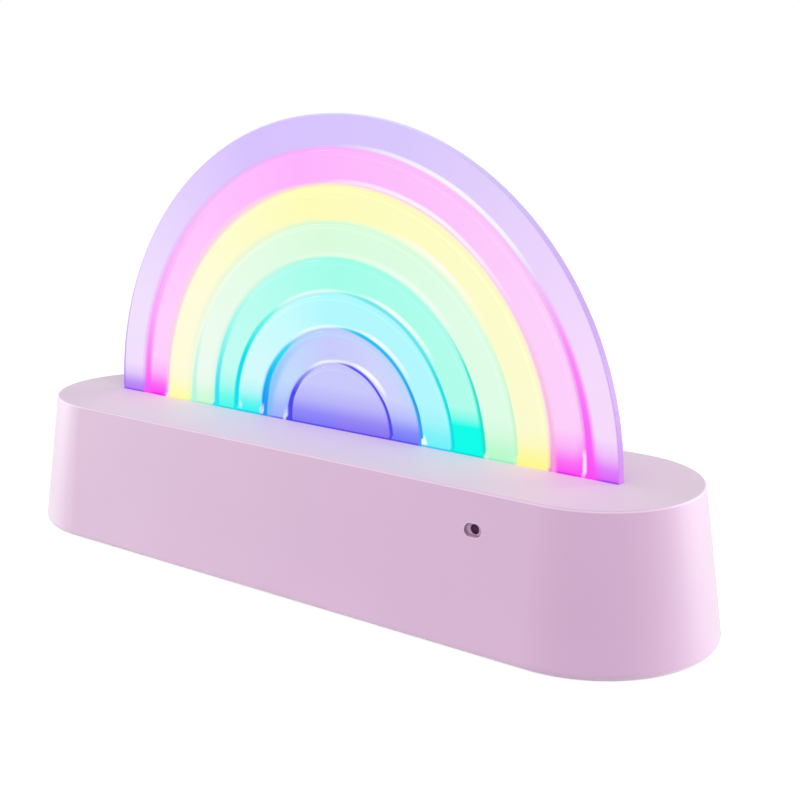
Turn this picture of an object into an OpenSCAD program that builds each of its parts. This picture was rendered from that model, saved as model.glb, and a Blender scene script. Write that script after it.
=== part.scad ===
// Rainbow lamp: a half-round panel of nested light-guide arches on a long battery base.
// X runs along the base, -Y is the front, Z is up. The origin is on the table, under the
// middle of the base.

/* [Base] */
// Length of the base's top face beyond the panel, at each end
base_end = 21.5; // [20.5:0.5:50]
// Width of the base's top face, and the diameter of its round ends
base_w = 60; // [58:1:80]
// Height of the housing from its rim to its top
base_h = 44.5; // [43:0.5:60]
// Lean of the walls, in degrees
draft = 8; // [6:0.5:10]
// Thickness of the side walls
wall_t = 2.4; // [2:0.1:3]
// Thickness of the top
top_t = 2.6; // [2.2:0.1:4]
// Radius of the edge round the top
edge_r = 0.6; // [0.3:0.1:1.5]
// Radius of the edge round the rim
rim_r = 2; // [0.5:0.1:2.2]
// Height of the rim above the table
rim_lift = 0.8; // [0.5:0.1:3]

/* [Rainbow panel] */
// Outer radius of the outermost arch
panel_r = 98.5; // [94:0.5:99]
// Thickness of the panel
panel_t = 3; // [2.6:0.1:4]
// Radius of the centre disc. Seven bands of equal width fill the rest
disc_r = 21.5; // [20:0.5:25]
// Depth of the arches' centre below the base's top
arch_sink = 1.5; // [0.5:0.1:2]
// Distance of the panel's middle in front of the base's middle
panel_forward = 0.9; // [0:0.1:3]
// Radius of the groove's round bottom
groove_r = 1.4; // [1.1:0.1:1.8]
// Depth of the groove
groove_d = 0.9; // [0.5:0.1:1]
// Height above the base at which a groove ends
groove_lift = 0.9; // [0.5:0.1:3]
// Glue gap between two arches
bond_gap = 0.1; // [0.05:0.01:0.2]
// Bevel on the outer rim of the panel
rim_bevel = 0.3; // [0.1:0.05:0.5]
// Clearance of the panel in the slot and of its feet in their pockets, each side
slot_gap = 0.1; // [0.05:0.01:0.25]
// Width of the foot under each band
foot_w = 8; // [6:0.5:8.5]
// Length of a foot below the base's top wall
foot_l = 5.7; // [4:0.1:6.2]

/* [Light holder] */
// Width of the holder's bar
holder_w = 14; // [13:0.5:16]
// Height of the holder
holder_h = 11.2; // [11:0.1:13]
// Length of the holder beyond the panel, at each end
holder_end = 5.5; // [5:0.5:6.5]
// Width of a light cell along the base
cell_w = 9; // [8.8:0.1:9.4]
// Width of a light cell across the base
cell_d = 7; // [6:0.5:7.5]
// Height of a light cell
cell_h = 4.5; // [3:0.1:4.8]
// Thickness of the holder's ears
ear_t = 3; // [2:0.5:4]
// Diameter of the holder's ears and of the bosses over them
ear_d = 7; // [6.5:0.5:8]
// Distance of the ears from the base's middle, along the base
ear_x = 62; // [58:1:64]
// Width of an LED package
led_w = 5; // [3:0.1:5.5]
// Height of an LED package
led_h = 1.6; // [1:0.1:2.5]

/* [Boards] */
// Thickness of the printed boards
board_t = 1.6; // [1:0.1:2]
// Length of the control board
control_l = 46; // [42:1:48]
// Width of the control board
control_w = 34; // [30:1:36]
// Gap between the control board and the screw boss at the base's end
control_gap = 9; // [7:0.5:10]
// Height of the posts under the control board
post_h = 6.4; // [4:0.2:10]
// Diameter of those posts
post_d = 6; // [5:0.5:7]

/* [Sensor] */
// Distance of the sensor from the base's middle
sensor_x = 70.6; // [66:0.2:80]
// Depth of the sensor below the base's top
sensor_drop = 10.7; // [10:0.1:14]
// Width of the recess round the eye
recess_w = 5.5; // [4:0.1:9]
// Height of the recess
recess_h = 3.6; // [3.3:0.1:5]
// Depth of the recess
recess_d = 1; // [0.5:0.1:1.2]
// Diameter of the eye
eye_d = 2.8; // [2:0.1:3.2]
// Clearance round the eye
eye_gap = 0.1; // [0.05:0.05:0.3]
// Width and height of the receiver's body
receiver_w = 6; // [5:0.1:8]
// Depth of the receiver's body
receiver_d = 4; // [3:0.1:6]
// Width of the sensor board
sensor_board_w = 16; // [12:0.5:18]
// Height of the sensor board
sensor_board_h = 12; // [9:0.5:12]

/* [Switch] */
// Place of the switch along the base, from its middle
switch_x = -62; // [-66:1:-60]
// Height of the switch above the table
switch_z = 22; // [18:0.5:26]
// Travel of the knob
switch_travel = 3; // [2:0.5:4]
// Length of the recess round the knob
dish_l = 15; // [13:0.5:15.5]
// Height of the recess round the knob
dish_h = 8.5; // [7:0.5:10]
// Depth of the recess in the back wall, at the knob's height
dish_d = 2.9; // [2.3:0.1:3.2]
// Thickness of the recess floor
dish_t = 2.4; // [2:0.1:3]
// Length of the knob's cap
knob_l = 6.5; // [5:0.5:7]
// Height of the knob's cap
knob_h = 5.5; // [4:0.5:6]
// Length of the knob's stem
stem_l = 4; // [3:0.5:4.5]
// Height of the knob's stem
stem_h = 3; // [2:0.5:3.5]
// Clearance round the moving knob
knob_gap = 0.2; // [0.1:0.05:0.4]
// Length of the switch's metal can
can_l = 13; // [12.5:0.5:13.5]
// Height of the can
can_h = 6.4; // [5.5:0.1:8]
// Depth of the can
can_d = 4.8; // [4:0.1:6]
// Distance between the switch's two screws
switch_screws_l = 17; // [16.5:0.5:18]

/* [Bottom and battery] */
// Thickness of the bottom plate
plate_t = 2.2; // [1.8:0.1:3]
// Depth of the bottom plate inside the rim
plate_inset = 2.6; // [2.5:0.1:4]
// Clearance round the bottom plate
plate_gap = 0.3; // [0.1:0.1:0.6]
// Diameter of one battery cell
cell_dia = 14.2; // [13.5:0.1:14.5]
// Length of one battery cell without its nub
cell_len = 49; // [43:0.5:50]
// Distance between the cells' middles
cell_pitch = 14.6; // [14.5:0.1:15.5]
// Length inside the battery well
well_l = 58; // [57:0.5:62]
// Clearance beside and above the cells
well_gap = 0.5; // [0.3:0.1:1]
// Thickness of the well's walls and roof
well_t = 1.8; // [1.2:0.1:2.4]
// Thickness of the battery door
door_t = 1.5; // [1.2:0.1:1.8]
// Overlap of the door beyond the well's mouth
door_lap = 1; // [0.8:0.1:2]
// Travel of the battery door
door_travel = 10; // [8:0.5:10.5]
// Running clearance of the door in its rails
door_gap = 0.08; // [0.05:0.01:0.1]
// Reach of the door's tabs past its sides
tab_reach = 1.8; // [1:0.1:2.5]
// Length of one tab
tab_l = 8; // [5:0.5:8]
// Thickness of the rails
rail_t = 1.5; // [1:0.1:2]
// Diameter of the rubber feet
pad_d = 12; // [8:0.5:14]
// Depth of the seat that each foot is glued into
pad_seat = 0.6; // [0.3:0.1:1]
// Distance of the feet from the base's middle, along the base
pad_x = 88; // [84:1:92]
// Distance of the feet inside the long edges of the base's top
pad_edge = 10; // [8:1:13]

/* [Screws] */
// Diameter of the housing screws
screw_d = 2.9; // [2.4:0.1:3]
// Diameter of the small screws
small_d = 1.9; // [1.6:0.1:2]
// Clearance of each screw in its hole, on the radius
screw_gap = 0.05; // [0.02:0.01:0.1]
// Diameter of the housing's screw bosses
boss_d = 7; // [6:0.5:7.5]
// Distance of the side bosses from the base's middle, along the base
boss_x = 45; // [43:1:46]
// Distance of the side bosses inside the long edges of the base's top
boss_edge = 7; // [6.5:0.5:8]

/* [Hidden] */
$fn = 96;
// How far a cutting shape runs past the face it cuts
past = 1;

// Heights
top_z = rim_lift + base_h;
under_top = top_z - top_t;
plate_z = rim_lift + plate_inset;
plate_top = plate_z + plate_t;
arch_z = top_z - arch_sink;
holder_z = under_top - holder_h;
led_board_z = holder_z - board_t;
control_z = plate_top + post_h;
sensor_z = top_z - sensor_drop;
door_z = plate_z - door_gap - door_t;
door_seat = 0.25;
cell_z = plate_z - door_gap + door_seat + cell_dia / 2;
well_top = cell_z + cell_dia / 2 + well_gap;
wire_z = cell_z;

// Lengths and widths
base_l = 2 * (panel_r + base_end);
end_x = base_l / 2 - base_w / 2;
boss_y = base_w / 2 - boss_edge;
pad_y = base_w / 2 - pad_edge;
dish_y = lean(switch_z) - dish_d;
panel_y = -panel_forward;
bands = 7;
band_w = (panel_r - disc_r) / bands;
holder_l = 2 * (panel_r + holder_end);
end_boss_gap = 3;
end_boss_x = holder_l / 2 + end_boss_gap + boss_d / 2;
control_x = end_boss_x - boss_d / 2 - control_gap - control_l / 2;
control_near = control_x - control_l / 2;
well_w = 2 * cell_pitch + cell_dia + 2 * well_gap;
tab_pitch = 20;
tab_shift = -door_travel / 2 + 1;

// Small parts
chip_l = 10;
chip_w = 7.5;
chip_h = 2.2;
small_chip_l = 5;
small_chip_w = 4;
small_chip_h = 1.6;
big_can_d = 6.3;
big_can_h = 7;
small_can_d = 5;
small_can_h = 5;
pin_w = 1.2;
pin_t = 0.6;
pin_l = 2;
pin_pitch = 3.5;
contact_w = 9;
contact_gap = 0.05;
spring_w = 8;
spring_bend = 3.8;
spring_touch = 1.2;
screw_head_d = 5.2;
screw_head_h = 1.6;
small_head_d = 3.6;
small_head_h = 1.3;
screw_bite = 9;
small_bite = 4;
switch_bite = 1.9;
wire_t = 0.8;
ribbon_w = 8;
wire_w = 2;
wire_gap = 0.3;
leaf_t = 0.5;
nub_d = 5.5;
nub_l = 1.2;

// Outer and inner radius of the round ends at a height
function lean(z) = base_w / 2 + (top_z - z) * tan(draft);
function inner(z) = lean(z) - wall_t / cos(draft);

// Points of an arc from one angle to another
function arc(cx, cy, r, from, to, steps = 8) =
    [for (i = [0:steps]) let (a = from + (to - from) * i / steps) [cx + r * cos(a), cy + r * sin(a)]];

// Middle of band i, counted from 0 for the innermost arch
function band_mid(i) = disc_r + (i + 0.5) * band_w;

// Where feet stand: three under the centre disc, and one at each end of every arch
disc_feet = [-disc_r * 0.6, 0, disc_r * 0.6];
arch_feet = [for (i = [0:bands - 1], s = [-1, 1]) s * band_mid(i)];
all_feet = concat(disc_feet, arch_feet);

housing_screw_places = concat(
    [for (x = [-boss_x, boss_x], y = [-boss_y, boss_y]) [x, y]],
    [for (s = [-1, 1]) [s * end_boss_x, 0]]
);
ear_reach = holder_w / 2 + ear_d / 2 - 1;
ear_places = [for (x = [-ear_x, ear_x], s = [-1, 1]) [x, panel_y + s * ear_reach]];
led_board_screw_places = concat(
    [for (s = [-1, 1]) [s * (panel_r + holder_end / 2), panel_y]],
    [for (s = [-1, 1]) [s * (disc_r + band_w), panel_y + (cell_d + holder_w) / 4]]
);
post_places = [
    for (x = [-1, 1], y = [-1, 1])
        [control_x + x * (control_l - post_d) / 2, y * (control_w - post_d) / 2]
];
pad_places = [for (x = [-pad_x, pad_x], y = [-pad_y, pad_y]) [x, y]];

// A round-ended solid along X from a half section whose first axis runs outwards
module round_ended(points, l = 2 * end_x) {
    mirrored = [for (i = [len(points) - 1:-1:0]) [-points[i][0], points[i][1]]];
    translate([-l / 2, 0, 0])
        rotate([90, 0, 90])
            linear_extrude(l)
                polygon(concat(points, mirrored));
    for (s = [0, 1])
        rotate([0, 0, 180 * s])
            translate([l / 2, 0, 0])
                rotate([0, 0, -90])
                    rotate_extrude(angle = 180)
                        polygon(points);
}

// A flat outline with straight sides and round ends
module obround(l, w) {
    square([l - w, w], center = true);
    for (s = [-1, 1])
        translate([s * (l - w) / 2, 0])
            circle(d = w);
}

// An upright cylinder at each place
module pillars(places, z, d, h) {
    for (p = places)
        translate([p[0], p[1], z])
            cylinder(d = d, h = h);
}

// Screws driven upwards, with their heads under a face at height z
module screws_up(places, z, d, head_d, head_h, l) {
    pillars(places, z, d, l);
    pillars(places, z - head_h, head_d, head_h);
}

// Screws driven down, with their heads on a face at height z
module screws_down(places, z, d, head_d, head_h, l) {
    pillars(places, z - l, d, l);
    pillars(places, z, head_d, head_h);
}

module outer_form() {
    rim_c = lean(rim_lift) - rim_r * (1 + sin(draft)) / cos(draft);
    edge_c = base_w / 2 - edge_r * (1 - sin(draft)) / cos(draft);
    round_ended(concat(
        [[0, rim_lift]],
        arc(rim_c, rim_lift + rim_r, rim_r, -90, draft),
        arc(edge_c, top_z - edge_r, edge_r, draft, 90, 4),
        [[0, top_z]]
    ));
}

module inner_form() {
    low = rim_lift - past;
    round_ended([
        [0, low],
        [inner(low), low],
        [inner(under_top), under_top],
        [0, under_top]
    ]);
}

// Two ribs behind the front wall, whose slots take the edges of the sensor board
rib_w = 2.6;
rib_l = 10;
sensor_face = -lean(sensor_z) + recess_d;
receiver_y = -inner(sensor_z) + 1.4;
sensor_board_y = receiver_y + receiver_d;
module sensor_ribs() {
    rib_y = sensor_board_y + board_t + 1.6;
    for (s = [-1, 1])
        translate([sensor_x + s * sensor_board_w / 2 - rib_w / 2, -inner(under_top) - 1, under_top - sensor_board_h])
            cube([rib_w, rib_y + inner(under_top) + 1, sensor_board_h + 0.5]);
}

module sensor_slots() {
    translate([sensor_x, sensor_board_y + board_t / 2, under_top - sensor_board_h / 2 - past])
        cube([sensor_board_w + 2 * slot_gap, board_t + 2 * slot_gap, sensor_board_h + 2 * past], center = true);
}

module sensor_hole() {
    translate([sensor_x, sensor_face, sensor_z])
        rotate([90, 0, 0])
            linear_extrude(recess_d + 2 * past)
                obround(recess_w, recess_h);
    translate([sensor_x, -inner(sensor_z) + 2, sensor_z])
        rotate([90, 0, 0])
            cylinder(d = eye_d + 2 * eye_gap, h = 6);
}

// A thick pad behind the back wall carries the switch; the dish in it lets a finger reach the knob
pad_in_y = dish_y - dish_t;
pad_l = dish_l + 11;
pad_h = dish_h + 7.5;
module switch_pad() {
    translate([switch_x - pad_l / 2, pad_in_y, switch_z - pad_h / 2])
        cube([pad_l, inner(switch_z + pad_h / 2) + wall_t / 2 - pad_in_y, pad_h]);
}

module switch_dish() {
    translate([switch_x, dish_y, switch_z])
        rotate([-90, 0, 0])
            linear_extrude(base_w / 6)
                obround(dish_l, dish_h);
    translate([switch_x, dish_y, switch_z])
        cube([stem_l + switch_travel + 2 * knob_gap, 4 * dish_t, stem_h + 2 * knob_gap], center = true);
    for (s = [-1, 1])
        translate([switch_x + s * switch_screws_l / 2, pad_in_y, switch_z])
            rotate([-90, 0, 0])
                cylinder(d = small_d + 2 * screw_gap, h = switch_bite + 0.3);
}

module base_shell() {
    color("#DBB9D4")
        difference() {
            union() {
                difference() {
                    outer_form();
                    inner_form();
                }
                pillars(housing_screw_places, plate_top, boss_d, under_top - plate_top + top_t / 2);
                pillars(ear_places, holder_z + ear_t, ear_d, holder_h - ear_t + top_t / 2);
                sensor_ribs();
                switch_pad();
            }
            translate([0, panel_y, top_z - top_t / 2])
                cube([2 * (panel_r + slot_gap), panel_t + 2 * slot_gap, top_t + 2 * past], center = true);
            pillars(housing_screw_places, plate_top - past, screw_d + 2 * screw_gap, screw_bite + past);
            pillars(ear_places, holder_z + ear_t - past, small_d + 2 * screw_gap, small_bite + past);
            sensor_slots();
            sensor_hole();
            switch_dish();
        }
}

// Half the groove's width on the panel's face, and the distance of its round from the panel's back
groove_half_w = sqrt(pow(groove_r, 2) - pow(groove_r - groove_d, 2));
groove_out = panel_t + groove_r - groove_d;

// Each groove ends in a round pocket, a little wider than the groove. Radius of the pocket, height
// of its middle above the arches' centre, and the angle there on radius r
pocket_r = groove_r + 0.15;
pocket_h = arch_sink + groove_lift + groove_half_w;
function pocket_angle(r) = asin(pocket_h / r);

// Section of a band, outwards and forwards, less the grooves at its edges
module band_section(high_r, low_r, outer_r, inner_r, outermost) {
    difference() {
        translate([low_r, 0])
            square([high_r - low_r, panel_t]);
        if (!outermost)
            translate([outer_r, groove_out])
                circle(r = groove_r, $fn = 48);
        if (inner_r > 0)
            translate([inner_r, groove_out])
                circle(r = groove_r, $fn = 48);
        if (outermost) {
            polygon([[high_r - rim_bevel, -past], [high_r + past, -past], [high_r + past, rim_bevel + past],
                [high_r, rim_bevel], [high_r - rim_bevel, 0]]);
            polygon([[high_r - rim_bevel, panel_t], [high_r, panel_t - rim_bevel],
                [high_r + past, panel_t - rim_bevel], [high_r + past, panel_t + past],
                [high_r - rim_bevel, panel_t + past]]);
        }
    }
}

// Fills the foot of the groove on radius r, between two radii, but for the groove's round end
stop_lap = 0.4;
module groove_stop(from_r, to_r, r) {
    back = panel_t - groove_d - stop_lap;
    difference() {
        rotate_extrude(angle = pocket_angle(r))
            translate([from_r, back])
                square([to_r - from_r, panel_t - back]);
        rotate([0, 0, pocket_angle(r)])
            translate([r, 0, groove_out])
                sphere(r = pocket_r);
    }
}

// A band with its legs and feet. Its grooves stop a little above the base
module band(outer_r, inner_r, feet, outermost = false) {
    leg = arch_z - under_top;
    low_r = inner_r > 0 ? inner_r + bond_gap / 2 : 0;
    high_r = outer_r - (outermost ? 0 : bond_gap / 2);
    stop_w = groove_half_w + stop_lap;
    translate([0, panel_y + panel_t / 2, arch_z])
        rotate([90, 0, 0]) {
            rotate_extrude(angle = 180)
                band_section(high_r, low_r, outer_r, inner_r, outermost);
            for (s = [0, 1])
                mirror([s, 0, 0]) {
                    if (!outermost)
                        groove_stop(high_r - stop_w, high_r, outer_r);
                    if (inner_r > 0)
                        groove_stop(low_r, low_r + stop_w, inner_r);
                    translate([low_r, -leg, 0])
                        cube([high_r - low_r, leg, panel_t]);
                }
            for (x = feet)
                translate([x - foot_w / 2, -leg - foot_l, 0])
                    cube([foot_w, foot_l + leg / 2, panel_t]);
        }
}

// Arch i, counted from 0 for the innermost one
module arch(i) {
    band(disc_r + (i + 1) * band_w, disc_r + i * band_w, [-band_mid(i), band_mid(i)], i == bands - 1);
}

module arch_lavender() { color("#D4C0FC") arch(6); }
module arch_pink() { color("#FDB0FB") arch(5); }
module arch_yellow() { color("#FEFCB8") arch(4); }
module arch_green() { color("#D8FCD9") arch(3); }
module arch_mint() { color("#A4FCE8") arch(2); }
module arch_cyan() { color("#B0FAFF") arch(1); }
module arch_periwinkle() { color("#CCC8FF") arch(0); }
module centre_disc() { color("#B9B4FF") band(disc_r, 0, disc_feet); }

module light_holder() {
    color("#F4F4F2")
        difference() {
            union() {
                translate([-holder_l / 2, panel_y - holder_w / 2, holder_z])
                    cube([holder_l, holder_w, holder_h]);
                pillars(ear_places, holder_z, ear_d, ear_t);
            }
            for (x = all_feet) {
                translate([x, panel_y, holder_z + cell_h / 2 - past / 2])
                    cube([cell_w, cell_d, cell_h + past], center = true);
                translate([x, panel_y, holder_z + holder_h / 2 + past])
                    cube([foot_w + 2 * slot_gap, panel_t + 2 * slot_gap, holder_h], center = true);
            }
            for (p = ear_places)
                translate([p[0], p[1], holder_z + ear_t])
                    cylinder(d = ear_d + 2 * slot_gap, h = holder_h);
            pillars(ear_places, holder_z - past, small_d + 2 * screw_gap, ear_t + 2 * past);
            pillars(led_board_screw_places, holder_z - past, small_d + 2 * screw_gap, small_bite + past);
        }
}

module holder_screws() {
    color("#B8BABD")
        screws_up(ear_places, holder_z, small_d, small_head_d, small_head_h, ear_t + small_bite - 0.5);
}

module led_board() {
    color("#2E7A4B")
        difference() {
            translate([-holder_l / 2, panel_y - holder_w / 2, led_board_z])
                cube([holder_l, holder_w, board_t]);
            pillars(led_board_screw_places, led_board_z - past, small_d + 2 * screw_gap, board_t + 2 * past);
        }
}

module leds() {
    color("#F7F3E3")
        for (x = all_feet)
            translate([x - led_w / 2, panel_y - led_w / 2, holder_z])
                cube([led_w, led_w, led_h]);
}

module led_board_screws() {
    color("#B8BABD")
        screws_up(led_board_screw_places, led_board_z, small_d, small_head_d, small_head_h, board_t + small_bite - 0.5);
}

module control_board() {
    color("#2E7A4B")
        difference() {
            translate([control_x - control_l / 2, -control_w / 2, control_z])
                cube([control_l, control_w, board_t]);
            pillars(post_places, control_z - past, small_d + 2 * screw_gap, board_t + 2 * past);
        }
}

module board_parts() {
    on_board = control_z + board_t;
    color("#2B2B2E") {
        translate([control_x + chip_w / 2, -chip_w / 2, on_board])
            cube([chip_l, chip_w, chip_h]);
        translate([control_x + chip_l, control_w / 4, on_board])
            cylinder(d = big_can_d, h = big_can_h);
        translate([control_x - control_l * 0.3, -control_w / 4, on_board])
            cube([small_chip_l, small_chip_w, small_chip_h]);
        translate([control_x - small_can_d, control_w / 4, on_board])
            cylinder(d = small_can_d, h = small_can_h);
    }
}

module control_board_screws() {
    color("#B8BABD")
        screws_down(post_places, control_z + board_t, small_d, small_head_d, small_head_h, board_t + small_bite - 0.5);
}

module sensor_eye() {
    color("#4A2B49") {
        translate([sensor_x, receiver_y, sensor_z])
            rotate([90, 0, 0])
                cylinder(d = eye_d, h = receiver_y - sensor_face + 0.1 - eye_d / 6);
        translate([sensor_x, sensor_face + 0.1 + eye_d / 6, sensor_z])
            intersection() {
                rotate([90, 0, 0])
                    cylinder(d = eye_d, h = eye_d);
                translate([0, eye_d * 2 / 3, 0])
                    sphere(r = eye_d * 5 / 6);
            }
        translate([sensor_x, receiver_y + receiver_d / 2, sensor_z])
            cube([receiver_w, receiver_d, receiver_w], center = true);
    }
}

module sensor_board() {
    color("#2E7A4B")
        translate([sensor_x - sensor_board_w / 2, sensor_board_y, under_top - sensor_board_h - 0.5])
            cube([sensor_board_w, board_t, sensor_board_h + 0.3]);
}

module switch_body() {
    flange_y = pad_in_y - leaf_t;
    flange_l = switch_screws_l + 2 * small_head_d * 2 / 3;
    color("#C9CCD0")
        difference() {
            union() {
                translate([switch_x - can_l / 2, flange_y - can_d, switch_z - can_h / 2])
                    cube([can_l, can_d, can_h]);
                translate([switch_x - flange_l / 2, flange_y, switch_z - can_h / 2])
                    cube([flange_l, leaf_t, can_h]);
                for (s = [-1:1])
                    translate([switch_x + s * pin_pitch - pin_w / 2, flange_y - can_d - pin_l, switch_z - pin_t / 2])
                        cube([pin_w, pin_l + leaf_t, pin_t]);
            }
            translate([switch_x, pad_in_y, switch_z])
                cube([stem_l + switch_travel + 2 * knob_gap, 2 * (can_d - 1), stem_h + 2 * knob_gap], center = true);
            for (s = [-1, 1])
                translate([switch_x + s * switch_screws_l / 2, flange_y - past, switch_z])
                    rotate([-90, 0, 0])
                        cylinder(d = small_d + 2 * screw_gap, h = leaf_t + 2 * past);
        }
}

// The knob stands at the end of its travel where the lamp is on
knob_x = switch_x + switch_travel / 2;
module switch_knob() {
    cap_y = dish_y + knob_gap;
    cap_t = 1.7;
    ridge = 0.5;
    color("#C9A3C1") {
        translate([knob_x - knob_l / 2, cap_y, switch_z - knob_h / 2])
            cube([knob_l, cap_t, knob_h]);
        for (s = [-1:1])
            translate([knob_x + s * knob_l / 3.6 - ridge / 2, cap_y, switch_z - knob_h / 2 + ridge])
                cube([ridge, cap_t + ridge, knob_h - 2 * ridge]);
        translate([knob_x - stem_l / 2, pad_in_y - can_d + 2, switch_z - stem_h / 2])
            cube([stem_l, cap_y - pad_in_y + can_d - 2 + 0.1, stem_h]);
    }
}

module switch_screws() {
    color("#B8BABD")
        for (s = [-1, 1])
            translate([switch_x + s * switch_screws_l / 2, pad_in_y - leaf_t, switch_z])
                rotate([-90, 0, 0]) {
                    cylinder(d = small_d, h = leaf_t + switch_bite);
                    translate([0, 0, -small_head_h])
                        cylinder(d = small_head_d, h = small_head_h);
                }
}

// Middles of the door's tabs, and of the rail hooks that they sit in when the door is shut
tab_places = [for (i = [-1:1]) i * tab_pitch + tab_shift];

module bottom_plate() {
    edge = inner(plate_top) - plate_gap;
    rail_y = well_w / 2 + door_lap + tab_reach + door_gap;
    hook_y = well_w / 2 + door_lap + door_gap;
    hook_top = door_z - door_gap;
    color("#D3AFCC")
        difference() {
            union() {
                round_ended([[0, plate_z], [edge, plate_z], [edge, plate_top], [0, plate_top]]);
                translate([-well_l / 2 - well_t, -well_w / 2 - well_t, plate_z + 0.5])
                    cube([well_l + 2 * well_t, well_w + 2 * well_t, well_top + well_t - plate_z - 0.5]);
                pillars(post_places, plate_z + 0.5, post_d, control_z - plate_z - 0.5);
                for (x = tab_places, s = [-1, 1])
                    translate([x - tab_l / 2, s > 0 ? 0 : -rail_y - rail_t, 0]) {
                        translate([0, s > 0 ? rail_y : 0, hook_top - rail_t / 2])
                            cube([tab_l, rail_t, plate_z - hook_top + rail_t / 2 + 0.5]);
                        translate([0, s > 0 ? hook_y : 0, hook_top - rail_t / 2])
                            cube([tab_l, rail_y + rail_t - hook_y, rail_t / 2]);
                    }
            }
            translate([-well_l / 2, -well_w / 2, plate_z - past])
                cube([well_l, well_w, well_top - plate_z + past]);
            pillars(housing_screw_places, plate_z - past, screw_d + 2 * screw_gap, plate_t + 2 * past);
            pillars(post_places, control_z - small_bite, small_d + 2 * screw_gap, small_bite + past);
            pillars(pad_places, plate_z - past, pad_d + 2 * slot_gap, pad_seat + past);
            for (s = [-1, 1])
                translate([s * (well_l + well_t) / 2, s * cell_pitch, wire_z])
                    cube([well_t + 2 * past, wire_w + 2 * wire_gap, wire_t + 2 * wire_gap], center = true);
        }
}

module battery_door() {
    half_l = well_l / 2 + door_lap;
    half_w = well_w / 2 + door_lap;
    grip_d = 0.5;
    grip_w = 1.2;
    grip_l = 16;
    grip_pitch = 2.4;
    grip_end = 6;
    color("#D3AFCC")
        difference() {
            union() {
                translate([-half_l, -half_w, door_z])
                    cube([2 * half_l, 2 * half_w, door_t]);
                for (x = tab_places)
                    translate([x - tab_l / 2 + door_gap, -half_w - tab_reach + door_gap, door_z])
                        cube([tab_l - 2 * door_gap, 2 * (half_w + tab_reach - door_gap), door_t]);
            }
            for (i = [0:3])
                translate([half_l - grip_end - grip_pitch * i, -grip_l / 2, door_z - past])
                    cube([grip_w, grip_l, past + grip_d]);
        }
}

// Which way cell i points along X. The middle cell lies the other way round
function cell_way(i) = i == 0 ? -1 : 1;

module battery_cells() {
    color("#3F6FB5")
        for (i = [-1:1])
            translate([cell_way(i) * (well_l / 2 - leaf_t - contact_gap), i * cell_pitch, cell_z])
                rotate([0, -90 * cell_way(i), 0]) {
                    cylinder(d = nub_d, h = 2 * nub_l);
                    translate([0, 0, nub_l])
                        cylinder(d = cell_dia, h = cell_len);
                }
}

// Flat contacts that the nubs press on
module contact_plates() {
    color("#C8C4B4")
        for (i = [-1:1])
            translate([cell_way(i) * (well_l / 2 - leaf_t / 2), i * cell_pitch, cell_z])
                cube([leaf_t, contact_w, contact_w], center = true);
}

// Bent leaves that press on the flat ends of the cells. The free end stops just short of the cell
module contact_springs() {
    half_h = (contact_w + 1) / 2;
    tip = well_l - leaf_t - 2 * contact_gap - nub_l - cell_len;
    color("#C8C4B4")
        for (i = [-1:1])
            translate([-cell_way(i) * well_l / 2, i * cell_pitch, cell_z])
                mirror([cell_way(i) < 0 ? 1 : 0, 0, 0])
                    rotate([90, 0, 0])
                        translate([0, 0, -spring_w / 2])
                            linear_extrude(spring_w)
                                polygon([
                                    [0, -half_h], [leaf_t, -half_h], [leaf_t, spring_bend],
                                    [tip - leaf_t / 2, spring_touch / 2], [tip - leaf_t / 2, -spring_touch],
                                    [tip, -spring_touch], [tip, spring_touch],
                                    [leaf_t, half_h], [0, half_h]
                                ]);
}

// Flat wires between the boards, the switch and the cells, laid as square-cornered strips
module led_cable() {
    color("#E8E4DA")
        translate([control_x - 12, panel_y - wire_t / 2, control_z + board_t])
            cube([ribbon_w, wire_t, led_board_z - control_z - board_t]);
}

module sensor_cable() {
    drop_y = -control_w / 2 + 1;
    start_z = under_top - sensor_board_h + 1;
    color("#E8E4DA") {
        translate([sensor_x - wire_w, sensor_board_y + board_t, start_z])
            cube([2 * wire_w, drop_y + wire_t - sensor_board_y - board_t, wire_t]);
        translate([sensor_x - wire_w, drop_y, control_z + board_t])
            cube([2 * wire_w, wire_t, start_z + wire_t - control_z - board_t]);
    }
}

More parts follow.
